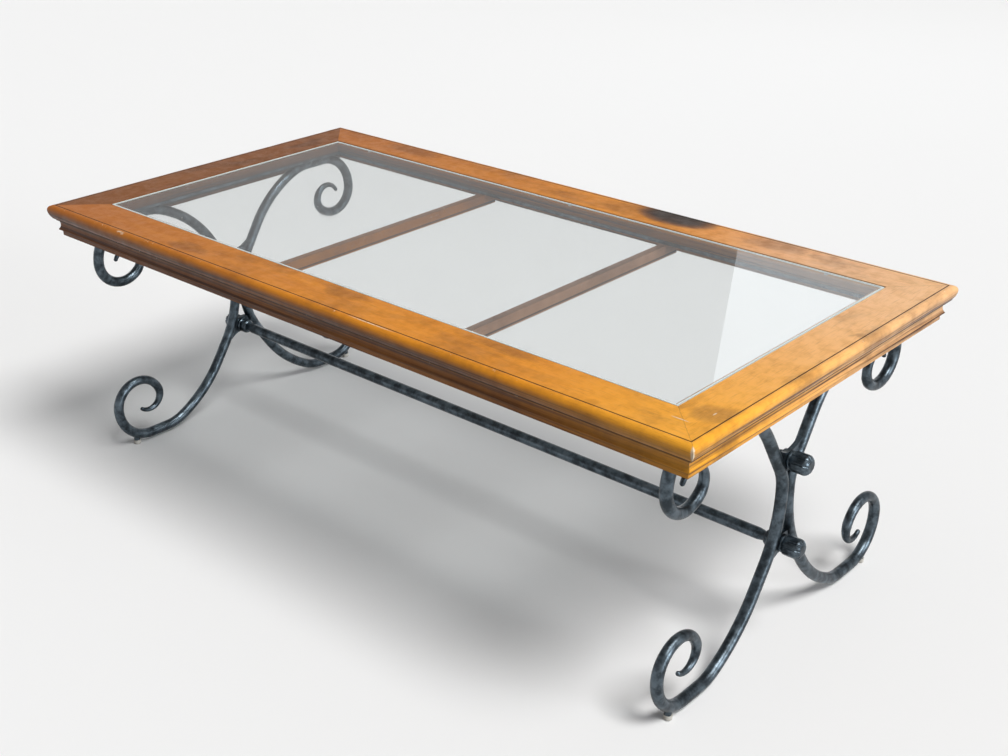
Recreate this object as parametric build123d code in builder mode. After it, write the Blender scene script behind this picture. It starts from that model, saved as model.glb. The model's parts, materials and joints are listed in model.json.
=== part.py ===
from build123d import *

import os
from math import asin, cos, degrees, radians, sin, sqrt, tan

# Coffee table: a mitred and moulded wood frame with a glass inset, screwed to a wrought iron
# base of scrolled round bar. Millimetres, X along the table, Y across it, Z up from the floor.
# The origin is on the floor under the middle of the top.

os.makedirs("parts", exist_ok=True)

# Overall size
table_length = 1270.0
table_width = 644.0
table_height = 443.0

# Wood top: board rails with a bead and a belly on the outer edge
board_thickness = 22.0
rail_face = 72.5
bead_radius = 8.0
belly_radius = 20.0
belly_drop = 13.0
groove_inset = 9.5
groove_width = 1.6
groove_depth = 1.3
ledge_width = 9.5
ledge_thickness = 14.7

# Apron moulding under the boards: fillet, cove and foot fillet
apron_height = 29.0
apron_back = 38.0
apron_inset = 9.0
apron_fillet = 3.5
quirk = 2.0
cove_height = 15.0
cove_hollow = 2.4
cove_lip = 1.5
lip_thickness = 1.2
foot_step = 4.5
foot_slope = 1.2

# Splines in the mitred corners of the boards
spline_length = 46.0
spline_width = 24.0
spline_thickness = 4.0
spline_inset = 50.0
spline_fit = 0.1

# Glass inset on clear bumpers
glass_thickness = 6.0
glass_gap = 1.5
bevel_width = 3.0
bevel_drop = 0.8
bumper_radius = 3.5
bumper_height = 0.8
bumper_setback = 90.0
bumpers_per_side = 3

# Flat bar frame under the boards
bar_width = 30.0
bar_thickness = 6.0
bar_setback = 1.5
bar_overhang = 18.0

# Cross battens under the flat bars
batten_width = 12.0
batten_height = 19.0
batten_spread = 381.0
batten_overlap = 26.0

# Scrolled legs of round bar
rod_radius = 8.5
leg_inset = 62.5
waist_height = 230.5
waist_length = 8.5
waist_flat = 0.3
weld_flat = 0.5
foot_clearance = 2.5
lower_reach = 277.0
upper_reach = 278.5
tip_radius = 3.4

# Bends of the lower half, from the waist to the tip: radius and turn in degrees
lower_slant_bend = (177.0, 34.0)
lower_sweep_bend = (226.0, 30.0)
lower_flat_bend = (77.0, 26.0)
lower_rise_bend = (61.0, 90.0)
lower_curl_bend = (43.5, 159.0)
lower_tip_bend = (24.0, 150.0)
lower_curl_end_radius = 7.2

# Bends of the upper half, in the same order
upper_slant_bend = (62.0, 32.0)
upper_sweep_bend = (195.0, 37.0)
upper_flat_bend = (87.0, 21.0)
upper_rise_bend = (62.0, 90.0)
upper_curl_bend = (42.5, 133.0)
upper_tip_bend = (24.7, 200.0)
upper_curl_end_radius = 8.0

# Foot boss, glide and its screw under each lower scroll
foot_spread = 496.0
boss_radius = 5.0
glide_radius = 6.2
glide_height = 6.8
glide_bevel = 1.0
glide_screw_radius = 1.9
glide_screw_length = 17.0
glide_head_radius = 3.4
glide_head_depth = 1.8
glide_head_lift = 0.5

# Webs between the rods of a pair, and what is stacked on their studs
web_thickness = 7.0
weld_gap = 0.3
upper_stack_height = 277.0
lower_stack_height = 149.0
web_near = 15.5
upper_web_far = 13.0
lower_web_far = 10.5
web_horn = 10.0
web_hollow_radius = 41.0
stud_radius = 4.0
stud_fit = 0.2
stud_end_gap = 1.0
collar_radius = 12.5
collar_thickness = 4.0
collar_bevel = 1.0
knob_radius = 14.5
knob_length = 28.0
knob_flutes = 10
flute_radius = 2.0
flute_depth = 1.3
flute_slant = 45.0
knob_base_round = 4.5
knob_nose_round = 9.0
knob_socket = 20.0
nut_radius = 9.0
nut_length = 13.0
nut_flange = 3.0
nut_socket = 9.0
bead_length = 14.0
bead_ring_radius = 12.5
bead_face_radius = 9.5

# Stretcher between the lower stacks
stretcher_radius = 8.5
stretcher_neck_radius = 6.5
stretcher_neck_length = 12.0
stretcher_socket = 25.0

# Wood screws: pan heads under the long bars, flat heads in the battens
pan_screw_inset = 120.0
pan_screws_per_bar = 4
screw_radius = 2.1
screw_fit = 0.15
pan_head_radius = 4.5
pan_head_height = 2.6
pan_screw_grip = 13.0
flat_head_radius = 4.2
flat_head_depth = 2.4
batten_screw_grip = 14.0
screw_point = 3.0

# Levels and lines that follow from the sizes above
half_length = table_length / 2
half_width = table_width / 2
board_bottom = table_height - board_thickness
board_depth = rail_face + ledge_width
ledge_top = board_bottom + ledge_thickness
apron_bottom = board_bottom - apron_height
bar_bottom = board_bottom - bar_thickness
batten_bottom = bar_bottom - batten_height
glass_bottom = ledge_top + bumper_height
glass_edge = rail_face + glass_gap
bar_edge_y = half_width - board_depth + bar_setback
leg_x = half_length - leg_inset
bar_edge_x = leg_x + bar_overhang
bar_middle_y = bar_edge_y + bar_width / 2
waist_outward = rod_radius - waist_flat
web_face = web_thickness / 2
knob_base = leg_x + web_face + collar_thickness
stack_inside = leg_x - web_face - collar_thickness
stretcher_end = stack_inside - bead_length
bore_radius = stud_radius + stud_fit
waist_end = waist_length / 2
upper_rise = bar_bottom + weld_flat - rod_radius - waist_height - waist_end
lower_axis = foot_clearance + rod_radius
lower_rise = waist_height - waist_end - lower_axis
foot_y = foot_spread / 2
rise_start = lower_reach - lower_rise_bend[0]
foot_axis = lower_axis + lower_rise_bend[0] - sqrt(lower_rise_bend[0] ** 2 - (foot_y - rise_start) ** 2)
batten_screw_y = bar_edge_y + batten_overlap / 2
SIDES = (-1, 1)
UP = Vector(0, 0, 1)
ROD_PLANE = Plane(origin=(leg_x, 0, waist_height), x_dir=(0, 1, 0), z_dir=(1, 0, 0))
UPPER_BENDS = (
    upper_slant_bend,
    upper_sweep_bend,
    upper_flat_bend,
    upper_rise_bend,
    upper_curl_bend,
    upper_tip_bend,
)
LOWER_BENDS = (
    lower_slant_bend,
    lower_sweep_bend,
    lower_flat_bend,
    lower_rise_bend,
    lower_curl_bend,
    lower_tip_bend,
)


def export(builder, name):
    """Label a finished piece and write it."""
    builder.part.label = name
    export_step(builder.part, f"parts/{name}.step")


def around_top(inward):
    """Section plane of a rail: x runs inward from the outer edge, y runs up from the top face."""
    reach = half_width if inward.X == 0 else half_length
    origin = Vector(0, 0, table_height) - inward * reach
    return Plane(origin=origin, x_dir=inward, z_dir=inward.cross(UP))


def mitred_plan(inward, depth):
    """Plan outline of one side of the frame, cut at 45 degrees at both ends."""
    reach, run = (half_width, half_length) if inward.X == 0 else (half_length, half_width)
    along = inward.cross(UP)
    corners = [(-run, 0), (run, 0), (run - depth, depth), (-run + depth, depth)]
    return [inward * (y - reach) + along * x for x, y in corners]


def mitre(inward, depth):
    """Trim the part being built to the plan outline."""
    with BuildSketch(Plane.XY) as plan:
        with BuildLine():
            Polyline(*mitred_plan(inward, depth), close=True)
        make_face()
    extrude(plan.sketch, amount=table_height, mode=Mode.INTERSECT)


def round_bar(start, end, radius, height, mode=Mode.ADD):
    """Add to or cut from the part being built a round bar along X."""
    with Locations((start, 0, height)):
        Cylinder(
            radius,
            end - start,
            rotation=(0, 90, 0),
            align=(Align.CENTER, Align.CENTER, Align.MIN),
            mode=mode,
        )


def corner_splines(clearance):
    """Splines across the four mitres, grown by a clearance."""
    level = board_bottom + ledge_thickness / 2
    with BuildPart() as splines:
        for sx in SIDES:
            for sy in SIDES:
                middle = (sx * (half_length - spline_inset), sy * (half_width - spline_inset), level)
                with Locations(Location(middle, (0, 0, 45 * sx * sy))):
                    Box(
                        spline_length + 2 * clearance,
                        spline_width + 2 * clearance,
                        spline_thickness + 2 * clearance,
                    )
    return splines


def rail(inward):
    """Board rail: bead and belly outside, V groove on top, rabbet and ledge for the glass."""
    belly_turn = degrees(asin(belly_drop / belly_radius))
    spline_slots = corner_splines(spline_fit)
    with BuildPart() as board:
        with BuildSketch(around_top(inward)):
            with BuildLine():
                bead = JernArc((bead_radius, 0), (-1, 0), bead_radius, 90)
                belly = JernArc(bead @ 1, bead % 1, belly_radius, belly_turn)
                Polyline(
                    belly @ 1,
                    ((belly @ 1).X, -board_thickness),
                    (board_depth, -board_thickness),
                    (board_depth, ledge_thickness - board_thickness),
                    (rail_face, ledge_thickness - board_thickness),
                    (rail_face, 0),
                    (groove_inset + groove_width, 0),
                    (groove_inset + groove_width / 2, -groove_depth),
                    (groove_inset, 0),
                    (bead_radius, 0),
                )
            make_face()
        extrude(amount=half_length, both=True)
        mitre(inward, board_depth)
        add(spline_slots.part, mode=Mode.SUBTRACT)
        if inward.X == 0:
            with Locations(*[(x, -inward.Y * bar_middle_y, board_bottom) for x in pan_screw_places()]):
                Cylinder(
                    screw_radius + screw_fit,
                    2 * (pan_screw_grip + screw_fit),
                    mode=Mode.SUBTRACT,
                )
    return board


def apron(inward):
    """Moulding under a board: fillet, quirk, cove, lip and a set-back foot fillet."""
    top = -board_thickness
    cove_top = top - apron_fillet
    cove_foot = cove_top - cove_height
    cove_line = apron_inset + quirk
    lip_line = apron_inset + cove_lip
    foot_line = lip_line + foot_step
    with BuildPart() as moulding:
        with BuildSketch(around_top(inward)):
            with BuildLine():
                ThreePointArc(
                    (cove_line, cove_top),
                    (cove_line + cove_hollow, cove_top - cove_height / 2),
                    (lip_line, cove_foot),
                )
                Polyline(
                    (lip_line, cove_foot),
                    (lip_line, cove_foot - lip_thickness),
                    (foot_line, cove_foot - lip_thickness - foot_slope),
                    (foot_line, top - apron_height),
                    (apron_back, top - apron_height),
                    (apron_back, top),
                    (apron_inset, top),
                    (apron_inset, cove_top),
                    (cove_line, cove_top),
                )
            make_face()
        extrude(amount=half_length, both=True)
        mitre(inward, apron_back)
    return moulding


def pan_screw_places():
    """Places along a long bar of the screws that hold the top."""
    span = table_length - 2 * (rail_face + pan_screw_inset)
    step = span / (pan_screws_per_bar - 1)
    return [-span / 2 + step * n for n in range(pan_screws_per_bar)]


def travel(bends):
    """Outward and upright travel of a chain of bends that starts upright."""
    heading = outward = upright = 0.0
    for radius, turn in bends:
        start, end = radians(heading), radians(heading + turn)
        outward += radius * (cos(start) - cos(end))
        upright += radius * (sin(end) - sin(start))
        heading += turn
    return outward, upright


def straight_runs(bends, rise, reach):
    """Lengths of the slanting and the level run that bring a half leg to its rise and reach."""
    slant_turn = radians(bends[0][1])
    slant = (rise - travel(bends[:3])[1]) / cos(slant_turn)
    level = reach - waist_outward - travel(bends[:4])[0] - slant * sin(slant_turn)
    return slant, level


def rod_offset(distance, bends):
    """Distance of a rod's axis from the middle plane, at a distance past the end of the waist."""
    radius, turn = bends[0]
    bend_height = radius * sin(radians(turn))
    if distance <= bend_height:
        return waist_outward + radius - sqrt(radius**2 - distance**2)
    return waist_outward + travel(bends[:1])[0] + (distance - bend_height) * tan(radians(turn))


def rod_spine(bends, rise, reach, way):
    """Axis of the back right rod from the waist to its curl: way is 1 upward, -1 downward."""
    slant, level = straight_runs(bends, rise, reach)
    slant_bend, sweep_bend, flat_bend, rise_bend = bends[:4]
    with BuildLine(ROD_PLANE) as spine:
        last = Line((waist_outward, 0), (waist_outward, way * waist_end))
        last = JernArc(last @ 1, last % 1, slant_bend[0], -way * slant_bend[1])
        last = Line(last @ 1, last @ 1 + (last % 1) * slant)
        last = JernArc(last @ 1, last % 1, sweep_bend[0], -way * sweep_bend[1])
        last = JernArc(last @ 1, last % 1, flat_bend[0], -way * flat_bend[1])
        last = Line(last @ 1, last @ 1 + (last % 1) * level)
        JernArc(last @ 1, last % 1, rise_bend[0], -way * rise_bend[1])
    return spine


def half_leg(bends, rise, reach, curl_end_radius, way):
    """Half of the back right leg: an even rod, then a tapering scroll with a rounded tip."""
    spine = rod_spine(bends, rise, reach, way)
    point, heading = spine.line @ 1, spine.line % 1
    radius = rod_radius
    with BuildPart() as half:
        with BuildSketch(Plane(origin=spine.line @ 0, z_dir=spine.line % 0)):
            Circle(rod_radius)
        sweep(path=spine.wire())
        for bend, end_radius in ((bends[4], curl_end_radius), (bends[5], tip_radius)):
            with BuildLine(ROD_PLANE) as curl:
                JernArc(point, heading, bend[0], -way * bend[1])
            with BuildSketch(Plane(origin=point, z_dir=heading)):
                Circle(radius)
            point, heading, radius = curl.line @ 1, curl.line % 1, end_radius
            with BuildSketch(Plane(origin=point, z_dir=heading)):
                Circle(radius)
            sweep(path=curl.wire(), multisection=True)
        with Locations(point):
            Sphere(tip_radius)
    return half


def leg():
    """Back right leg, flat where it meets its twin at the waist and where it meets the end bar."""
    upper = half_leg(UPPER_BENDS, upper_rise, upper_reach, upper_curl_end_radius, 1)
    lower = half_leg(LOWER_BENDS, lower_rise, lower_reach, lower_curl_end_radius, -1)
    with BuildPart() as scroll:
        add(upper.part)
        add(lower.part)
        with Locations((leg_x, foot_y, glide_height)):
            Cylinder(boss_radius, foot_axis - glide_height, align=(Align.CENTER, Align.CENTER, Align.MIN))
            Cylinder(
                glide_screw_radius + screw_fit,
                2 * (glide_head_lift + glide_screw_length + screw_fit - glide_height),
                mode=Mode.SUBTRACT,
            )
        split(bisect_by=Plane.XZ, keep=Keep.BOTTOM)
        split(bisect_by=Plane.XY.offset(bar_bottom), keep=Keep.BOTTOM)
    return scroll


def rod_clearance(bends, rise, reach, way):
    """Room that a pair of rods takes up, with the weld gap around each."""
    spine = rod_spine(bends, rise, reach, way)
    with BuildPart() as room:
        with BuildSketch(Plane(origin=spine.line @ 0, z_dir=spine.line % 0)):
            Circle(rod_radius + weld_gap)
        sweep(path=spine.wire())
        mirror(about=Plane.XZ)
    return room


def web(bends, rise, reach, stack_height, far, way):
    """Plate between the right rods: straight toward the waist, hollow away from it."""
    plane = Plane(origin=(leg_x, 0, stack_height), x_dir=(0, 1, 0), z_dir=(1, 0, 0))
    rods = rod_clearance(bends, rise, reach, way)
    past_waist = abs(stack_height - waist_height) - waist_end
    near_half = rod_offset(past_waist - web_near, bends)
    horn_half = rod_offset(past_waist + far + web_horn, bends)
    with BuildPart() as plate:
        with BuildSketch(plane):
            with BuildLine():
                Polyline(
                    (-near_half, -way * web_near),
                    (near_half, -way * web_near),
                    (horn_half, way * (far + web_horn)),
                    (-horn_half, way * (far + web_horn)),
                    close=True,
                )
            make_face()
            with Locations((0, way * (far + web_hollow_radius))):
                Circle(web_hollow_radius, mode=Mode.SUBTRACT)
            Circle(bore_radius, mode=Mode.SUBTRACT)
        extrude(amount=web_face, both=True)
        add(rods.part, mode=Mode.SUBTRACT)
    return plate


def turning_plane(height):
    """Plane through a stack's axis: x runs along the table, y is the radius."""
    return Plane(origin=(0, 0, height), x_dir=(1, 0, 0), z_dir=(0, -1, 0))


def collar(inner_face, height):
    """Bevelled washer on the right stack, from its inner face outward."""
    with BuildPart() as washer:
        round_bar(inner_face, inner_face + collar_thickness, collar_radius, height)
        chamfer(washer.edges().filter_by(GeomType.CIRCLE), collar_bevel)
        round_bar(inner_face, inner_face + collar_thickness, bore_radius, height, Mode.SUBTRACT)
    return washer


def knob(height):
    """Fluted barrel knob, bored for its stud; each flute is a straight cut and one over the nose."""
    flute_line = knob_radius + flute_radius - flute_depth
    nose_line = knob_nose_round + flute_radius - flute_depth
    nose_place = (
        knob_radius - knob_nose_round + nose_line * sin(radians(flute_slant)),
        0,
        knob_length - knob_nose_round + nose_line * cos(radians(flute_slant)),
    )
    cuts = [
        Location((flute_line, 0, knob_length / 2)),
        Location(nose_place, (0, flute_slant - 90, 0)),
    ]
    with BuildPart() as barrel:
        with BuildSketch(turning_plane(height)) as profile:
            with Locations((knob_base, 0)):
                Rectangle(knob_length, knob_radius, align=(Align.MIN, Align.MIN))
            fillet(profile.vertices().group_by(Axis.Y)[-1].sort_by(Axis.X)[0], knob_base_round)
            fillet(profile.vertices().group_by(Axis.Y)[-1].sort_by(Axis.X)[-1], knob_nose_round)
        revolve(axis=Axis((0, 0, height), (1, 0, 0)))
        with Locations(Location((knob_base, 0, height), (0, 90, 0))):
            with PolarLocations(0, knob_flutes):
                with Locations(*cuts):
                    Cylinder(flute_radius, 2 * knob_length, mode=Mode.SUBTRACT)
        round_bar(knob_base, knob_base + knob_socket, bore_radius, height, Mode.SUBTRACT)
    return barrel


def domed_nut(height):
    """Nut with a round dome on the inner end of an upper stud."""
    tip = stack_inside - nut_length
    dome_start = stack_inside - nut_flange
    with BuildPart() as nut:
        with BuildSketch(turning_plane(height)):
            with BuildLine():
                Polyline((tip, 0), (stack_inside, 0), (stack_inside, nut_radius), (dome_start, nut_radius))
                EllipticalCenterArc(
                    (dome_start, 0),
                    nut_length - nut_flange,
                    nut_radius,
                    start_angle=90,
                    arc_size=90,
                )
            make_face()
        revolve(axis=Axis((0, 0, height), (1, 0, 0)))
        round_bar(stack_inside - nut_socket, stack_inside, bore_radius, height, Mode.SUBTRACT)
    return nut


def bead_ring(height):
    """Turned ring between the stretcher's end and the inner collar."""
    with BuildPart() as ring:
        with BuildSketch(turning_plane(height)):
            with BuildLine():
                Polyline(
                    (stretcher_end, bead_face_radius),
                    (stretcher_end, bore_radius),
                    (stack_inside, bore_radius),
                    (stack_inside, bead_face_radius),
                )
                ThreePointArc(
                    (stack_inside, bead_face_radius),
                    (stack_inside - bead_length / 2, bead_ring_radius),
                    (stretcher_end, bead_face_radius),
                )
            make_face()
        revolve(axis=Axis((0, 0, height), (1, 0, 0)))
    return ring


def stud(start, height):
    """Stud that holds a stack together, ending short of the bottom of the knob's socket."""
    with BuildPart() as pin:
        round_bar(start, knob_base + knob_socket - stud_end_gap, stud_radius, height)
    return pin


def screw(radius, length, head_radius, head_height, tapered):
    """Wood screw at the origin, pointing up, with its head's outer face at Z zero."""
    head_edge = [] if tapered else [(head_radius, head_height)]
    with BuildPart() as fastener:
        with BuildSketch(Plane.XZ):
            with BuildLine():
                Polyline(
                    (0, 0),
                    (head_radius, 0),
                    *head_edge,
                    (radius, head_height),
                    (radius, length - screw_point),
                    (0, length),
                    close=True,
                )
            make_face()
        revolve(axis=Axis.Z)
    return fastener


def stretcher():
    """Round bar between the lower stacks, necked and bored at both ends."""
    height = lower_stack_height
    with BuildPart() as bar:
        with BuildSketch(turning_plane(height)):
            with BuildLine():
                Polyline(
                    (-stretcher_end, 0),
                    (-stretcher_end, stretcher_neck_radius),
                    (stretcher_neck_length - stretcher_end, stretcher_radius),
                    (stretcher_end - stretcher_neck_length, stretcher_radius),
                    (stretcher_end, stretcher_neck_radius),
                    (stretcher_end, 0),
                    close=True,
                )
            make_face()
        revolve(axis=Axis((0, 0, height), (1, 0, 0)))
        round_bar(-stretcher_end, stretcher_socket - stretcher_end, bore_radius, height, Mode.SUBTRACT)
        round_bar(stretcher_end - stretcher_socket, stretcher_end, bore_radius, height, Mode.SUBTRACT)
    return bar


def glass():
    """Inset panel with its upper edges bevelled."""
    with BuildPart() as panel:
        with Locations((0, 0, glass_bottom)):
            Box(
                2 * (half_length - glass_edge),
                2 * (half_width - glass_edge),
                glass_thickness,
                align=(Align.CENTER, Align.CENTER, Align.MIN),
            )
        top_face = panel.faces().sort_by(Axis.Z)[-1]
        chamfer(top_face.edges(), bevel_drop, bevel_width, reference=top_face)
    return panel


def bumpers():
    """Soft discs on the ledges of the long rails, under the glass."""
    places = [half_length - glass_edge - bumper_setback, 0, glass_edge + bumper_setback - half_length]
    line = half_width - (glass_edge + board_depth) / 2
    with BuildPart() as discs:
        with Locations(*[(x, side * line, ledge_top) for x in places for side in SIDES]):
            Cylinder(bumper_radius, bumper_height, align=(Align.CENTER, Align.CENTER, Align.MIN))
    return discs


def long_bar():
    """Back flat bar, drilled for the screws into the top and into the battens."""
    with BuildPart() as bar:
        with Locations((0, bar_middle_y, bar_bottom)):
            Box(2 * bar_edge_x, bar_width, bar_thickness, align=(Align.CENTER, Align.CENTER, Align.MIN))
        with Locations(*[(x, bar_middle_y, bar_bottom) for x in pan_screw_places()]):
            Cylinder(screw_radius + screw_fit, 2 * bar_thickness, mode=Mode.SUBTRACT)
        with Locations(*[(side * batten_spread / 2, batten_screw_y, board_bottom) for side in SIDES]):
            CounterSinkHole(screw_radius + screw_fit, flat_head_radius + screw_fit, bar_thickness)
    return bar


def end_bar():
    """Right flat bar, welded between the long bars over the scroll tops."""
    with BuildPart() as bar:
        with Locations((leg_x, 0, bar_bottom)):
            Box(bar_width, 2 * bar_edge_y, bar_thickness, align=(Align.CENTER, Align.CENTER, Align.MIN))
    return bar


def batten():
    """Right cross batten, drilled for its two screws."""
    with BuildPart() as bar:
        with Locations((batten_spread / 2, 0, batten_bottom)):
            Box(
                batten_width,
                2 * (bar_edge_y + batten_overlap),
                batten_height,
                align=(Align.CENTER, Align.CENTER, Align.MIN),
            )
        with Locations(*[(batten_spread / 2, side * batten_screw_y, bar_bottom) for side in SIDES]):
            Cylinder(screw_radius + screw_fit, 2 * (batten_screw_grip + screw_fit), mode=Mode.SUBTRACT)
    return bar


def glide():
    """Turned pad under the back right scroll, recessed for its screw's head."""
    with BuildPart() as pad:
        with Locations((leg_x, foot_y, 0)):
            Cylinder(glide_radius, glide_height, align=(Align.CENTER, Align.CENTER, Align.MIN))
            chamfer(pad.edges().sort_by(Axis.Z)[0], glide_bevel)
            Cylinder(glide_screw_radius + screw_fit, 2 * glide_height, mode=Mode.SUBTRACT)
            Cylinder(
                glide_head_radius + screw_fit,
                2 * (glide_head_lift + glide_head_depth),
                mode=Mode.SUBTRACT,
            )
    return pad


def export_corners(build, name):
    """Write a back right piece and its mirror images at the other corners."""
    for sx, end in ((1, "right"), (-1, "left")):
        for sy, side in ((1, "back"), (-1, "front")):
            with BuildPart() as piece:
                add(build.part if sx > 0 else build.part.mirror(Plane.YZ))
                if sy < 0:
                    mirror(about=Plane.XZ, mode=Mode.REPLACE)
            export(piece, f"{side}_{end}_{name}")


def export_ends(build, name):
    """Write a right-hand piece and its mirror image on the left."""
    export(build, f"right_{name}")
    with BuildPart() as piece:
        add(build.part.mirror(Plane.YZ))
    export(piece, f"left_{name}")


# Wood top
for way_in, side in (
    (Vector(0, 1, 0), "front"),
    (Vector(0, -1, 0), "back"),
    (Vector(1, 0, 0), "left"),
    (Vector(-1, 0, 0), "right"),
):
    export(rail(way_in), f"{side}_rail")
    export(apron(way_in), f"{side}_apron")
export(corner_splines(0), "mitre_splines")

# Glass
export(glass(), "glass_panel")
export(bumpers(), "glass_bumpers")

# Iron frame under the top
back_bar = long_bar()
export(back_bar, "back_iron_bar")
with BuildPart() as front_bar:
    add(back_bar.part.mirror(Plane.XZ))
export(front_bar, "front_iron_bar")
export_ends(end_bar(), "iron_bar")
export_ends(batten(), "batten")

# Legs and their glides
export_corners(leg(), "leg")
export_corners(glide(), "glide")

# Joints of the leg pairs
upper_web = web(UPPER_BENDS, upper_rise, upper_reach, upper_stack_height, upper_web_far, 1)
lower_web = web(LOWER_BENDS, lower_rise, lower_reach, lower_stack_height, lower_web_far, -1)
export_ends(upper_web, "upper_web")
export_ends(lower_web, "lower_web")
for stack_height, level in ((upper_stack_height, "upper"), (lower_stack_height, "lower")):
    export_ends(collar(leg_x + web_face, stack_height), f"{level}_outer_collar")
    export_ends(collar(stack_inside, stack_height), f"{level}_inner_collar")
    export_ends(knob(stack_height), f"{level}_knob")
export_ends(domed_nut(upper_stack_height), "domed_nut")
export_ends(bead_ring(lower_stack_height), "bead_ring")
export_ends(stud(stack_inside - nut_socket + stud_end_gap, upper_stack_height), "upper_stud")
export_ends(stud(stretcher_end - stretcher_socket + stud_end_gap, lower_stack_height), "lower_stud")
export(stretcher(), "stretcher")

# Screws
pan_length = pan_head_height + bar_thickness + pan_screw_grip
pan_screw = screw(screw_radius, pan_length, pan_head_radius, pan_head_height, False)
pan_level = bar_bottom - pan_head_height
with BuildPart() as top_screws:
    with Locations(*[(x, side * bar_middle_y, pan_level) for x in pan_screw_places() for side in SIDES]):
        add(pan_screw.part)
export(top_screws, "top_screws")
batten_screw = screw(
    screw_radius, bar_thickness + batten_screw_grip, flat_head_radius, flat_head_depth, True
)
with BuildPart() as batten_screws:
    with Locations(
        *[
            Location((end * batten_spread / 2, side * batten_screw_y, board_bottom), (180, 0, 0))
            for end in SIDES
            for side in SIDES
        ]
    ):
        add(batten_screw.part)
export(batten_screws, "batten_screws")
glide_screw = screw(
    glide_screw_radius, glide_screw_length, glide_head_radius, glide_head_depth, True
)
with BuildPart() as glide_screws:
    with Locations(*[(end * leg_x, side * foot_y, glide_head_lift) for end in SIDES for side in SIDES]):
        add(glide_screw.part)
export(glide_screws, "glide_screws")
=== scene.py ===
"""Looks of the scroll-leg coffee table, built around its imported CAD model.

The wood is stained and smudged softwood with worn edges, the base is blackened iron with a satin
sheen, and the inset is clear glass. Metres, X along the table, Y across it, Z up from the floor.
"""

import json
import math

import bmesh
import bpy
from mathutils import Matrix, Vector

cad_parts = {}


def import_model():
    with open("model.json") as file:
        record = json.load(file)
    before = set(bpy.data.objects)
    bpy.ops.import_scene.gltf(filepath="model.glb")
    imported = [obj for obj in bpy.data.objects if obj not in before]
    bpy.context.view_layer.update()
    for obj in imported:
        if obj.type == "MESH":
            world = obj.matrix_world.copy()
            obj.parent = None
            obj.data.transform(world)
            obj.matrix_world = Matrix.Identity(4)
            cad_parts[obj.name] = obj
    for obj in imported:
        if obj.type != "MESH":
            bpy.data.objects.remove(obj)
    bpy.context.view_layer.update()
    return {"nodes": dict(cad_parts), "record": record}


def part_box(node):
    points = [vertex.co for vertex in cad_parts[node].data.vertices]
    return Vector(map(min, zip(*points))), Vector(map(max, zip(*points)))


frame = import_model()

# Camera, at the photograph's viewing angle
CAMERA_PLACE = Vector((1.3892, -1.4792, 1.1689))
CAMERA_AZIMUTH = 41.6709
CAMERA_ELEVATION = 25.1532
CAMERA_ROLL = math.radians(-0.1379)
CAMERA_LENS = 50.785
SENSOR_WIDTH = 36.0
NEAREST_SEEN = 0.01
FARTHEST_SEEN = 100.0

# Lamps, with angles in degrees
WINDOW_LIGHT = (0.92, 0.96, 1.0)
SUNS = {
    "key": {
        "azimuth": 91.0,
        "elevation": 58.0,
        "distance": 4.0,
        "spread": 26.0,
        "strength": 2.6,
        "colour": (1.0, 0.995, 0.985),
    },
    "right_window": {
        "azimuth": 96.0,
        "elevation": 10.0,
        "distance": 4.0,
        "spread": 30.0,
        "strength": 1.9,
        "colour": WINDOW_LIGHT,
    },
}
BACK_WINDOW = {
    "azimuth": 198.2,
    "elevation": 28.0,
    "distance": 4.4,
    "size": (1.1, 1.3),
    "power": 3.2,
    "colour": WINDOW_LIGHT,
}

# Sky, backdrop and floor
SKY_LIGHT = (0.985, 0.99, 1.0, 1.0)
SKY_STRENGTH = 0.25
BACKDROP = (0.887, 0.887, 0.887, 1.0)
CEILING = (0.42, 0.42, 0.42, 1.0)
CEILING_START = 0.05
CEILING_END = 0.30
FLOOR_SEEN = (0.86, 0.858, 0.856, 1.0)
FLOOR_BOUNCE = (0.34, 0.33, 0.32, 1.0)
FLOOR_CLOUDS = 0.01
FLOOR_SIZE = 120.0
FLOOR_LEVEL = -0.0005

# Places on the top that the materials refer to
TOP_LOW, TOP_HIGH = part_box("front_rail")
HALF_WIDTH = -TOP_LOW.y
HALF_LENGTH = TOP_HIGH.x
TOP_LEVEL = TOP_HIGH.z
BOARD_BOTTOM = TOP_LOW.z
GROOVE_DEPTH = 0.0103
# Board joint and the two quirks: a dark joint line and painted shade in the quirks.
QUIRK_LEVELS = (BOARD_BOTTOM, BOARD_BOTTOM - 0.0045, BOARD_BOTTOM - 0.0215)

# Colours of the wood
# The gold is painted light for the lit right end.
LIT_GOLD = (0.95, 0.44, 0.035, 1.0)
# The pale is a painted sheen at the right end and back right.
SHEEN_PALE = (0.80, 0.60, 0.47, 1.0)
HONEY = (0.78, 0.290, 0.014, 1.0)
AMBER = (0.52, 0.160, 0.012, 1.0)
RUSSET = (0.230, 0.060, 0.012, 1.0)
# The brown is real smudges and burn, and painted shade below the edge.
BROWN = (0.075, 0.024, 0.008, 1.0)
ROSE = (0.62, 0.33, 0.19, 1.0)
ROSE_MIDDLE = (0.50, 0.24, 0.13, 1.0)
ROSE_DEEP = (0.24, 0.10, 0.05, 1.0)
# The soot is char on the burn and painted shade in the creases.
SOOT_AND_CREASE_SHADE = (0.014, 0.010, 0.009, 1.0)
VARNISH_CHIP = (0.80, 0.68, 0.50, 1.0)
HONEY_STAIN = (HONEY, AMBER, RUSSET)
ROSE_STAIN = (ROSE, ROSE_MIDDLE, ROSE_DEEP)

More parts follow.
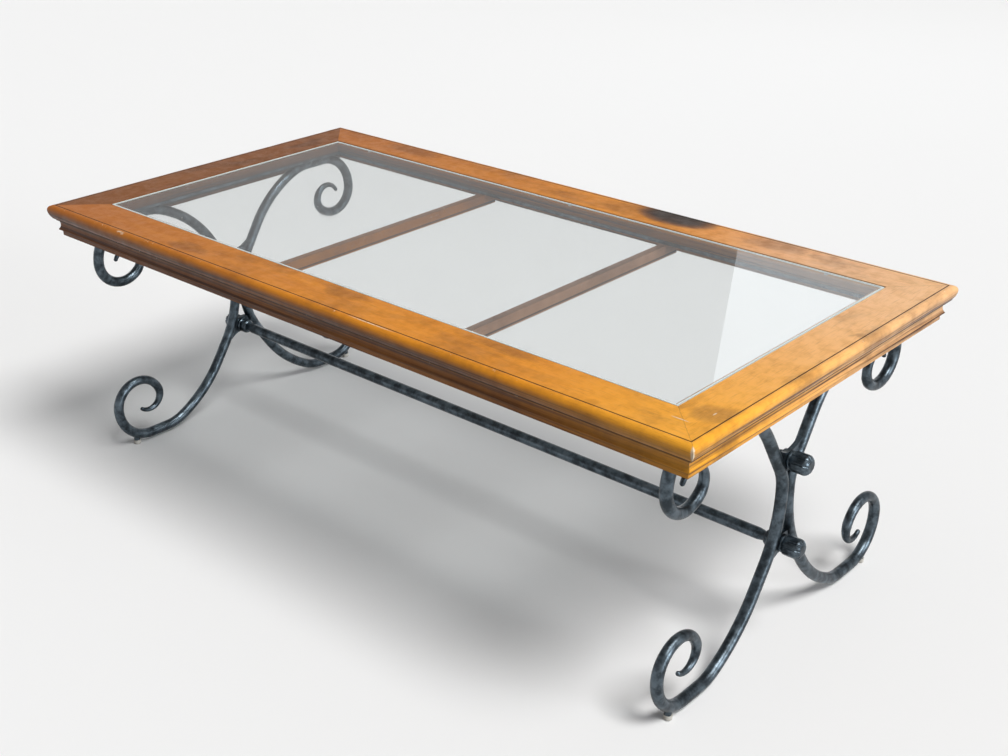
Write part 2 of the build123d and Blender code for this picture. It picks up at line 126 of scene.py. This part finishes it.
# Noise stretches of the wood, by the direction of the grain
GRAIN = {
    "x": {
        "fleck": (9.0, 150.0, 150.0),
        "streak": (2.2, 34.0, 34.0),
        "cloud": (4.0, 9.0, 4.0),
        "side_line": (1.4, 3.0, 150.0),
    },
    "y": {
        "fleck": (150.0, 9.0, 150.0),
        "streak": (34.0, 2.2, 34.0),
        "cloud": (9.0, 4.0, 4.0),
        "side_line": (3.0, 1.4, 150.0),
    },
}
BURN_STRETCH = (14.0, 30.0, 14.0)
CHIP_STRETCH = (30.0, 30.0, 30.0)

# Steps of the wood: start, end and, where given, the strength at each of them
# Bleach, gold and deep steps along X: partly bleaching, partly painted light at the right and
# painted shade at the left.
BLEACH_AND_LIGHT_ALONG = 0.75
BLEACH_AND_LIGHT_STREAKS = 0.9
BLEACHED_AND_LIT = (-0.35, 1.05)
LIT_GOLD_ALONG = (0.34, 0.66, 0.0, 0.75)
# Painted sheen at the right end and back right.
SHEEN_ALONG = (0.15, 0.50)
SHEEN_ACROSS = (-0.30, 0.25, 0.0, 0.45)
DEEP_AND_SHADE_ALONG = (0.15, -0.75, 0.0, 0.45)
DEEP_MOTTLE = (0.40, 0.72, 0.0, 0.18)
DEEP_FLECKS = (0.50, 0.72, 0.0, 0.26)
SWIRL = 0.16
SWIRL_ACROSS = 0.35
SMUDGE_STRENGTH = 0.42
CLOUD_SMOKE = (0.47, 0.76, 0.0, 0.52)
SMOKE_MOTTLE = (0.20, 0.62, 0.70, 1.0)
# Painted shade below the edge, with dark streaks; less toward the lit right end along X.
SIDE_LEVELS = (TOP_LEVEL - 0.006, TOP_LEVEL - 0.014)
SIDE_LINES = (0.40, 0.66)
SIDE_SHADE_ALONG = (0.62, 0.30, 0.45, 1.0)
# Groove and quirk lines are painted shade; the mitre line is a dark joint.
GROOVE_LINE = (0.0014, 0.0006)
GROOVE_LEVELS = (TOP_LEVEL - 0.010, TOP_LEVEL - 0.006)
QUIRK_LINE = (0.0020, 0.0006)
MITRE_LINE = (0.0009, 0.0003, 0.0, 0.35)
MITRE_WANDER = 0.006
CREASE_SHADE_STRENGTH = 0.85
BURN_RAGGED = 0.5
BURN_HALO = (-0.05, 0.55, 0.0, 0.75)
BURN_CORE = (0.35, 1.05, 0.0, 0.92)
ARRIS_REACH = (0.0050, 0.0022)
CORNER_ALONG = (0.0, 0.1)
CORNER_ACROSS = (0.0, -0.1)
CORNER_CHIPS = (0.34, 0.46)
EDGE_DEPTH = 0.0065
EDGE_REACH = (0.0050, 0.0010)
EDGE_CHIPS = (0.665, 0.70)
SCRATCH_CHIPS = (0.40, 0.52)
SCRATCH_LEVELS = (TOP_LEVEL - 0.012, TOP_LEVEL - 0.009)
WEAR_STRENGTH = 0.85
WOOD_GLOSS = (0.25, 0.75, 0.33, 0.52)
FLECK_RELIEF = 0.00018
WAVE_RELIEF = 0.0022
WEAR_RELIEF = 0.0004

# Marks on the top: centre and reach of each, along and across
BURN = ((0.172, 0.302), (0.085, 0.044))
SMUDGES = (
    ((0.347, 0.293), (0.075, 0.032)),
    ((0.011, -0.261), (0.060, 0.022)),
    ((0.326, -0.254), (0.048, 0.022)),
    ((0.628, 0.082), (0.020, 0.050)),
    ((0.600, -0.242), (0.032, 0.028)),
    ((-0.604, 0.192), (0.024, 0.060)),
    ((-0.300, -0.292), (0.055, 0.020)),
    ((-0.420, 0.290), (0.080, 0.026)),
)
SCRATCHES = (
    ((0.583, -0.274), (0.016, 0.0012)),
    ((-0.434, -0.318), (0.012, 0.0030)),
    ((0.118, -0.3145), (0.050, 0.0012)),
    ((0.606, -0.238), (0.0014, 0.0050)),
)

# Iron
IRON_DARK = (0.036, 0.045, 0.053, 1.0)
IRON_LIGHT = (0.115, 0.145, 0.17, 1.0)
IRON_CHIP = (0.34, 0.33, 0.32, 1.0)
IRON_MOTTLE = (0.35, 0.68)
IRON_CHIPS = (0.735, 0.79, 0.0, 0.6)
IRON_CHIP_STRETCH = (0.45, 1.0, 1.0)
IRON_GLOSS = (0.3, 0.7, 0.31, 0.39)
IRON_RELIEF = 0.0005
IRON_GRIT_RELIEF = 0.00005

# Glass
GLASS_CLEAR = (0.90, 0.93, 0.93, 1.0)
GLASS_GROUND = (0.78, 0.86, 0.84, 1.0)
GLASS_SHADE = (0.65, 0.66, 0.66, 1.0)
GLASS_INDEX = 1.5
BEVEL_REACH = (0.0036, 0.0028)
SMEAR_STRETCH = (3.0, 5.0, 3.0)
SMEAR_GLOSS = (0.45, 0.75, 0.0, 0.04)
DUST_SPECKS = (0.755, 0.78, 0.0, 0.55)
SPECK_ROUGHNESS = 0.5
SPECK_CLEARNESS = (0.0, 1.0, 1.0, 0.15)

# Small parts
RUBBER_LIGHT = (0.80, 0.81, 0.80, 1.0)
RUBBER_DARK = (0.66, 0.67, 0.66, 1.0)
RUBBER_ROUGHNESS = 0.5
GLIDE_LIGHT = (0.62, 0.60, 0.55, 1.0)
GLIDE_DARK = (0.42, 0.40, 0.36, 1.0)
GLIDE_ROUGHNESS = 0.45
PLASTIC_VARIATION = 0.06
STEEL_DARK = (0.20, 0.19, 0.18, 1.0)
STEEL_LIGHT = (0.46, 0.45, 0.43, 1.0)
STEEL_GLOSS = (0.3, 0.7, 0.35, 0.55)
SMALL_RELIEF = 0.0002


class Graph:
    """Adds shader nodes to one new material."""

    def __init__(self, name):
        self.material = bpy.data.materials.new(name)
        self.material.use_nodes = True
        self.nodes = self.material.node_tree.nodes
        self.links = self.material.node_tree.links
        self.shader = self.nodes["Principled BSDF"]
        self.place = self.nodes.new("ShaderNodeTexCoord").outputs["Object"]

    def feed(self, socket, value):
        """Link a socket to another one, or set its value."""
        if isinstance(value, bpy.types.NodeSocket):
            self.links.new(value, socket)
        else:
            socket.default_value = value

    def surface(self, **values):
        """Set or link the shader's inputs, named with underscores for spaces."""
        for name, value in values.items():
            self.feed(self.shader.inputs[name.replace("_", " ")], value)

    def math(self, operation, first, second=0.0):
        node = self.nodes.new("ShaderNodeMath")
        node.operation = operation
        self.feed(node.inputs[0], first)
        self.feed(node.inputs[1], second)
        return node.outputs[0]

    def plus(self, first, second):
        return self.math("ADD", first, second)

    def minus(self, first, second):
        return self.math("SUBTRACT", first, second)

    def times(self, first, second):
        return self.math("MULTIPLY", first, second)

    def greater(self, first, second):
        return self.math("MAXIMUM", first, second)

    def size(self, value):
        return self.math("ABSOLUTE", value)

    def split(self, vector):
        node = self.nodes.new("ShaderNodeSeparateXYZ")
        self.feed(node.inputs[0], vector)
        return node.outputs

    def stretched(self, scale):
        node = self.nodes.new("ShaderNodeMapping")
        self.feed(node.inputs["Vector"], self.place)
        node.inputs["Scale"].default_value = scale
        return node.outputs[0]

    def noise(self, vector, scale, detail=3.0, roughness=0.55, distortion=0.0):
        node = self.nodes.new("ShaderNodeTexNoise")
        self.feed(node.inputs["Vector"], vector)
        node.inputs["Scale"].default_value = scale
        node.inputs["Detail"].default_value = detail
        node.inputs["Roughness"].default_value = roughness
        node.inputs["Distortion"].default_value = distortion
        return node.outputs["Fac"]

    def step(self, value, low, high, floor=0.0, ceiling=1.0):
        """Smooth step of a value from floor at low to ceiling at high."""
        node = self.nodes.new("ShaderNodeMapRange")
        node.interpolation_type = "SMOOTHSTEP"
        self.feed(node.inputs["Value"], value)
        node.inputs["From Min"].default_value = low
        node.inputs["From Max"].default_value = high
        node.inputs["To Min"].default_value = floor
        node.inputs["To Max"].default_value = ceiling
        return node.outputs["Result"]

    def mix(self, factor, first, second, blend="MIX"):
        node = self.nodes.new("ShaderNodeMix")
        node.data_type = "RGBA"
        node.blend_type = blend
        self.feed(node.inputs["Factor"], factor)
        self.feed(node.inputs["A"], first)
        self.feed(node.inputs["B"], second)
        return node.outputs["Result"]

    def bump(self, height, depth, normal=None):
        node = self.nodes.new("ShaderNodeBump")
        node.inputs["Distance"].default_value = depth
        self.feed(node.inputs["Height"], height)
        if normal is not None:
            self.feed(node.inputs["Normal"], normal)
        return node.outputs["Normal"]

    def spot(self, x, y, centre, reach):
        """1 near a centre on the top, falling to 0 at an elliptic reach."""
        along = self.math("DIVIDE", self.minus(x, centre[0]), reach[0])
        across = self.math("DIVIDE", self.minus(y, centre[1]), reach[1])
        far = self.plus(self.times(along, along), self.times(across, across))
        return self.step(far, 1.0, 0.1)

    def spots(self, x, y, places):
        """The greatest of several spots."""
        found = self.spot(x, y, *places[0])
        for place in places[1:]:
            found = self.greater(found, self.spot(x, y, *place))
        return found


class Wood(Graph):
    """One material of stained and sponged wood, with its grain along "x" or "y"."""

    def __init__(self, name, along):
        super().__init__(name)
        self.along = along
        self.x, self.y, self.z = self.split(self.place)
        self.end_depth = self.minus(HALF_LENGTH, self.size(self.x))
        self.side_depth = self.minus(HALF_WIDTH, self.size(self.y))
        self.depth = self.side_depth if along == "x" else self.end_depth
        grain = GRAIN[along]
        self.flecks = self.noise(self.stretched(grain["fleck"]), 4.0, 3.0, 0.65)
        self.streaks = self.noise(self.stretched(grain["streak"]), 2.0, 4.0, 0.6, 0.4)
        self.clouds = self.noise(self.stretched(grain["cloud"]), 1.9, 4.0, 0.55, 0.25)
        self.mottle = self.noise(self.place, 60.0, 4.0, 0.6, 0.2)

    def stained(self, light, middle, deep):
        """Stain, golden and lighter at the right end and deeper at the left: partly bleaching,
        partly painted light and shade.
        """
        # Lighter toward the right: partly bleaching, partly painted light.
        bleached_and_lit = self.plus(
            self.times(self.x, BLEACH_AND_LIGHT_ALONG), self.times(self.streaks, BLEACH_AND_LIGHT_STREAKS)
        )
        colour = self.mix(self.step(bleached_and_lit, *BLEACHED_AND_LIT), middle, light)
        # Painted light: golden at the lit right end.
        colour = self.mix(self.step(self.x, *LIT_GOLD_ALONG), colour, LIT_GOLD)
        # Painted sheen: pale at the right end and back right.
        painted_sheen = self.times(self.step(self.x, *SHEEN_ALONG), self.step(self.y, *SHEEN_ACROSS))
        colour = self.mix(painted_sheen, colour, SHEEN_PALE)
        # Deeper at the left: partly stain, partly painted shade.
        colour = self.mix(self.step(self.x, *DEEP_AND_SHADE_ALONG), colour, deep)
        colour = self.mix(self.step(self.mottle, *DEEP_MOTTLE), colour, deep)
        return self.mix(self.step(self.flecks, *DEEP_FLECKS), colour, deep)

    def smoked(self, colour):
        """Soft brown smudges, at chosen places and in clouds."""
        swirl = self.times(self.minus(self.clouds, 0.5), SWIRL)
        x_blown = self.plus(self.x, swirl)
        y_blown = self.plus(self.y, self.times(swirl, SWIRL_ACROSS))
        smoke = self.times(self.spots(x_blown, y_blown, SMUDGES), SMUDGE_STRENGTH)
        smoke = self.greater(smoke, self.step(self.clouds, *CLOUD_SMOKE))
        smoke = self.times(smoke, self.step(self.mottle, *SMOKE_MOTTLE))
        return self.mix(smoke, colour, BROWN)

    def shaded(self, colour, side_shade):
        """Painted shade below the edge, partly dark stain: brown streaks over an even brown of
        given strength.
        """
        low = self.step(self.z, *SIDE_LEVELS)
        fine = self.noise(self.stretched(GRAIN[self.along]["side_line"]), 2.0, 3.0, 0.6)
        lines = self.step(fine, *SIDE_LINES, 0.0, 1.0 - side_shade)
        side_shade_and_lines = self.times(low, self.plus(lines, side_shade))
        if self.along == "x":
            # The painted shade fades toward the lit right end.
            side_shade_and_lines = self.times(side_shade_and_lines, self.step(self.x, *SIDE_SHADE_ALONG))
        return self.mix(side_shade_and_lines, colour, BROWN)

    def crease_shaded(self, colour):
        """Painted shade in the incised line and the moulding's quirks, and dark lines at the board
        joint and the mitres.
        """
        crease_shade_and_joints = self.step(self.size(self.minus(self.depth, GROOVE_DEPTH)), *GROOVE_LINE)
        crease_shade_and_joints = self.times(crease_shade_and_joints, self.step(self.z, *GROOVE_LEVELS))
        for level in QUIRK_LEVELS:
            gap = self.size(self.minus(self.z, level))
            crease_shade_and_joints = self.greater(crease_shade_and_joints, self.step(gap, *QUIRK_LINE))
        wander = self.times(self.minus(self.mottle, 0.5), MITRE_WANDER)
        mitre_gap = self.size(self.plus(self.minus(self.end_depth, self.side_depth), wander))
        crease_shade_and_joints = self.greater(crease_shade_and_joints, self.step(mitre_gap, *MITRE_LINE))
        return self.mix(self.times(crease_shade_and_joints, CREASE_SHADE_STRENGTH), colour, SOOT_AND_CREASE_SHADE)

    def burnt(self, colour):
        """A scorched patch, brown round a black core."""
        ragged = self.noise(self.stretched(BURN_STRETCH), 2.0, 4.0, 0.6)
        char = self.plus(
            self.spot(self.x, self.y, *BURN), self.times(self.minus(ragged, 0.5), BURN_RAGGED)
        )
        colour = self.mix(self.step(char, *BURN_HALO), colour, BROWN)
        return self.mix(self.step(char, *BURN_CORE), colour, SOOT_AND_CREASE_SHADE)

    def worn(self):
        """How far the varnish is gone: at the near right corner, the edges and a few scratches."""
        chips = self.noise(self.stretched(CHIP_STRETCH), 3.0, 4.0, 0.7)
        arris = self.greater(self.end_depth, self.side_depth)
        corner = self.times(self.step(arris, *ARRIS_REACH), self.step(self.x, *CORNER_ALONG))
        corner = self.times(corner, self.step(self.y, *CORNER_ACROSS))
        worn = self.times(corner, self.step(chips, *CORNER_CHIPS))
        edge = self.step(self.size(self.minus(self.depth, EDGE_DEPTH)), *EDGE_REACH)
        worn = self.greater(worn, self.times(edge, self.step(chips, *EDGE_CHIPS)))
        nicks = self.times(
            self.spots(self.x, self.y, SCRATCHES), self.step(chips, *SCRATCH_CHIPS)
        )
        return self.greater(worn, self.times(nicks, self.step(self.z, *SCRATCH_LEVELS)))


def wood(name, along, stain=HONEY_STAIN, darkening=1.0, side_shade=0.0, burnt=False):
    """Varnished wood, with painted shade of the given strength below the edge and a given overall
    darkening.
    """
    graph = Wood(name, along)
    colour = graph.smoked(graph.stained(*stain))
    if side_shade:
        colour = graph.shaded(colour, side_shade)
    colour = graph.crease_shaded(colour)
    if burnt:
        colour = graph.burnt(colour)
    worn = graph.worn()
    colour = graph.mix(graph.times(worn, WEAR_STRENGTH), colour, VARNISH_CHIP)
    if darkening != 1.0:
        colour = graph.mix(1.0, colour, (darkening, darkening, darkening, 1.0), "MULTIPLY")
    normal = graph.bump(graph.flecks, FLECK_RELIEF)
    normal = graph.bump(graph.noise(graph.place, 11.0, 3.0), WAVE_RELIEF, normal)
    normal = graph.bump(graph.minus(1.0, worn), WEAR_RELIEF, normal)
    graph.surface(
        Base_Color=colour,
        Roughness=graph.step(graph.mottle, *WOOD_GLOSS),
        Normal=normal,
        Specular_IOR_Level=0.26,
        Coat_Weight=0.06,
        Coat_Roughness=0.12,
    )
    return graph.material


def iron():
    """Blackened, hand-worked iron with a satin sheen, slightly uneven, with a few worn specks."""
    graph = Graph("black_iron")
    mottle = graph.noise(graph.place, 62.0, 4.0, 0.6)
    grit = graph.noise(graph.place, 300.0, 2.0, 0.6)
    chips = graph.noise(graph.stretched(IRON_CHIP_STRETCH), 120.0, 4.0, 0.75)
    colour = graph.mix(graph.step(mottle, *IRON_MOTTLE), IRON_DARK, IRON_LIGHT)
    colour = graph.mix(graph.step(chips, *IRON_CHIPS), colour, IRON_CHIP)
    normal = graph.bump(mottle, IRON_RELIEF)
    normal = graph.bump(grit, IRON_GRIT_RELIEF, normal)
    graph.surface(
        Base_Color=colour,
        Metallic=1.0,
        Roughness=graph.step(grit, *IRON_GLOSS),
        Normal=normal,
    )
    return graph.material


def glass():
    """Clear float glass with a ground, greenish bevel and a little dust.

    Lamp light and bounced light pass through it dimmed by GLASS_SHADE, which sets how deep the
    shadow under the table is.
    """
    graph = Graph("clear_glass")
    x, y, _ = graph.split(graph.place)
    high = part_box("glass_panel")[1]
    end_depth = graph.minus(high.x, graph.size(x))
    side_depth = graph.minus(high.y, graph.size(y))
    rim = graph.step(graph.math("MINIMUM", end_depth, side_depth), *BEVEL_REACH)
    smear = graph.noise(graph.stretched(SMEAR_STRETCH), 2.0, 3.0, 0.5)
    dust = graph.noise(graph.place, 240.0, 2.0, 0.5)
    speck = graph.greater(graph.step(dust, *DUST_SPECKS), rim)
    graph.surface(
        Base_Color=graph.mix(speck, GLASS_CLEAR, GLASS_GROUND),
        Roughness=graph.plus(graph.step(smear, *SMEAR_GLOSS), graph.times(speck, SPECK_ROUGHNESS)),
        Transmission_Weight=graph.step(speck, *SPECK_CLEARNESS),
        IOR=GLASS_INDEX,
    )
    shade = graph.nodes.new("ShaderNodeBsdfTransparent")
    shade.inputs["Color"].default_value = GLASS_SHADE
    path = graph.nodes.new("ShaderNodeLightPath")
    lighting = graph.greater(path.outputs["Is Shadow Ray"], path.outputs["Is Diffuse Ray"])
    mixed = graph.nodes.new("ShaderNodeMixShader")
    graph.links.new(lighting, mixed.inputs["Fac"])
    graph.links.new(graph.shader.outputs["BSDF"], mixed.inputs[1])
    graph.links.new(shade.outputs["BSDF"], mixed.inputs[2])
    output = graph.nodes["Material Output"]
    graph.links.new(mixed.outputs["Shader"], output.inputs["Surface"])
    return graph.material


def soft_plastic(name, light, dark, roughness):
    """Moulded plastic or rubber with faint cloudiness."""
    graph = Graph(name)
    cloud = graph.noise(graph.place, 260.0, 3.0)
    smooth, rough = roughness - PLASTIC_VARIATION, roughness + PLASTIC_VARIATION
    graph.surface(
        Base_Color=graph.mix(cloud, dark, light),
        Roughness=graph.step(cloud, 0.3, 0.7, smooth, rough),
        Normal=graph.bump(cloud, SMALL_RELIEF),
    )
    return graph.material


def screw_steel():
    """Dull zinc-plated steel, darkened in patches."""
    graph = Graph("screw_steel")
    tarnish = graph.noise(graph.place, 320.0, 4.0, 0.6)
    graph.surface(
        Base_Color=graph.mix(tarnish, STEEL_DARK, STEEL_LIGHT),
        Metallic=1.0,
        Roughness=graph.step(tarnish, *STEEL_GLOSS),
        Normal=graph.bump(tarnish, SMALL_RELIEF),
    )
    return graph.material


def dress(names, material):
    """Make a material the only one of each named CAD node."""
    for name in names:
        mesh = frame["nodes"][name].data
        mesh.materials.clear()
        mesh.materials.append(material)


def in_slot(wanted):
    """Names of the CAD nodes that the record gives one material slot."""
    return [part["node"] for part in frame["record"]["subparts"] if part["material_slot"] == wanted]


def dress_all():
    """Materials for every CAD node, by the record's slots and the run of the grain."""
    iron_paint = iron()
    # Each face has its own copy: the brown below the edge is painted shade, deepest on the unlit
    # front, least on the lit right end.
    for kind in ("rail", "apron"):
        dress([f"front_{kind}"], wood(f"{kind}_wood_front", "x", side_shade=0.58))
        dress([f"back_{kind}"], wood(f"{kind}_wood_back", "x", side_shade=0.3, burnt=kind == "rail"))
        # The left end's darkening is painted shade.
        dress([f"left_{kind}"], wood(f"{kind}_wood_left", "y", darkening=0.5, side_shade=0.3))
        dress([f"right_{kind}"], wood(f"{kind}_wood_right", "y", side_shade=0.08))
    dress(["mitre_splines"], wood("spline_wood", "x"))
    dress(["left_batten"], wood("left_batten_wood", "y", darkening=0.85))
    dress(["right_batten"], wood("right_batten_wood", "y", stain=ROSE_STAIN))
    dress(["glass_panel"], glass())
    rubber = soft_plastic("bumper_rubber", RUBBER_LIGHT, RUBBER_DARK, RUBBER_ROUGHNESS)
    dress(["glass_bumpers"], rubber)
    plastic = soft_plastic("glide_plastic", GLIDE_LIGHT, GLIDE_DARK, GLIDE_ROUGHNESS)
    dress(in_slot("glide"), plastic)
    dress(in_slot("screw_steel"), screw_steel())
    dress(in_slot("iron"), iron_paint)


def toward(azimuth, elevation):
    """Direction from the table, in degrees: azimuth 0 is -Y and 90 is +X."""
    turned, raised = math.radians(azimuth), math.radians(elevation)
    return Vector(
        (
            math.sin(turned) * math.cos(raised),
            -math.cos(turned) * math.cos(raised),
            math.sin(raised),
        )
    )


def camera():
    """Camera where the photograph was taken from."""
    back = toward(CAMERA_AZIMUTH, CAMERA_ELEVATION)
    level = Vector((0, 0, 1)).cross(back).normalized()
    upright = back.cross(level)
    right = level * math.cos(CAMERA_ROLL) + upright * math.sin(CAMERA_ROLL)
    up = upright * math.cos(CAMERA_ROLL) - level * math.sin(CAMERA_ROLL)
    data = bpy.data.cameras.new("camera")
    data.lens = CAMERA_LENS
    data.sensor_width = SENSOR_WIDTH
    data.sensor_fit = "HORIZONTAL"
    data.clip_start = NEAREST_SEEN
    data.clip_end = FARTHEST_SEEN
    made = bpy.data.objects.new("camera", data)
    turn = Matrix((right, up, back)).transposed()
    made.matrix_world = Matrix.Translation(CAMERA_PLACE) @ turn.to_4x4()
    bpy.context.scene.collection.objects.link(made)
    bpy.context.scene.camera = made


def looked_at(nodes, links):
    """1 for rays that show the background: from the camera, a reflection or through the glass."""
    path = nodes.new("ShaderNodeLightPath")
    found = path.outputs["Is Camera Ray"]
    for name in ("Is Glossy Ray", "Is Transmission Ray"):
        either = nodes.new("ShaderNodeMath")
        either.operation = "MAXIMUM"
        links.new(found, either.inputs[0])
        links.new(path.outputs[name], either.inputs[1])
        found = either.outputs[0]
    return found


def floor():
    """Pale floor that takes the table's shadow and throws back less light than it shows."""
    work = bmesh.new()
    bmesh.ops.create_grid(work, x_segments=2, y_segments=2, size=FLOOR_SIZE / 2)
    mesh = bpy.data.meshes.new("floor")
    work.to_mesh(mesh)
    work.free()
    made = bpy.data.objects.new("floor", mesh)
    made.location.z = FLOOR_LEVEL
    bpy.context.scene.collection.objects.link(made)
    graph = Graph("pale_floor")
    faint = graph.noise(graph.place, 3.0, 2.0)
    seen = graph.mix(graph.step(faint, 0.0, 1.0, 0.0, FLOOR_CLOUDS), FLOOR_SEEN, BACKDROP)
    graph.surface(
        Base_Color=graph.mix(looked_at(graph.nodes, graph.links), FLOOR_BOUNCE, seen),
        Roughness=1.0,
        Specular_IOR_Level=0.0,
    )
    mesh.materials.append(graph.material)


def world():
    """Even sky light. Rays that show the background get a pale backdrop, darker overhead."""
    made = bpy.data.worlds.new("studio")
    bpy.context.scene.world = made
    made.use_nodes = True
    nodes, links = made.node_tree.nodes, made.node_tree.links
    light = nodes["Background"]
    light.inputs["Color"].default_value = SKY_LIGHT
    light.inputs["Strength"].default_value = SKY_STRENGTH
    seen = nodes.new("ShaderNodeBackground")
    direction = nodes.new("ShaderNodeTexCoord")
    height = nodes.new("ShaderNodeSeparateXYZ")
    links.new(direction.outputs["Generated"], height.inputs[0])
    rise = nodes.new("ShaderNodeMapRange")
    rise.interpolation_type = "SMOOTHSTEP"
    links.new(height.outputs["Z"], rise.inputs["Value"])
    rise.inputs["From Min"].default_value = CEILING_START
    rise.inputs["From Max"].default_value = CEILING_END
    dimmed = nodes.new("ShaderNodeMix")
    dimmed.data_type = "RGBA"
    links.new(rise.outputs["Result"], dimmed.inputs["Factor"])
    dimmed.inputs["A"].default_value = BACKDROP
    dimmed.inputs["B"].default_value = CEILING
    links.new(dimmed.outputs["Result"], seen.inputs["Color"])
    seen.inputs["Strength"].default_value = 1.0
    mixed = nodes.new("ShaderNodeMixShader")
    links.new(looked_at(nodes, links), mixed.inputs["Fac"])
    links.new(light.outputs["Background"], mixed.inputs[1])
    links.new(seen.outputs["Background"], mixed.inputs[2])
    links.new(mixed.outputs["Shader"], nodes["World Output"].inputs["Surface"])


def hang(name, data, view):
    """Put a lamp where its view says, pointing at the table's middle."""
    direction = toward(view["azimuth"], view["elevation"])
    data.color = view["colour"]
    made = bpy.data.objects.new(name, data)
    made.location = direction * view["distance"]
    made.rotation_mode = "QUATERNION"
    made.rotation_quaternion = direction.to_track_quat("Z", "Y")
    bpy.context.scene.collection.objects.link(made)


def lamps():
    """A wide key lamp and a low one from the right, and a back window for the glass's sheen."""
    for name, view in SUNS.items():
        sun = bpy.data.lights.new(name, "SUN")
        sun.energy = view["strength"]
        sun.angle = math.radians(view["spread"])
        hang(name, sun, view)
    window = bpy.data.lights.new("back_window", "AREA")
    window.shape = "RECTANGLE"
    window.size, window.size_y = BACK_WINDOW["size"]
    window.energy = BACK_WINDOW["power"]
    hang("back_window", window, BACK_WINDOW)


bpy.context.scene.view_settings.view_transform = "Standard"
camera()
dress_all()
floor()
world()
lamps()
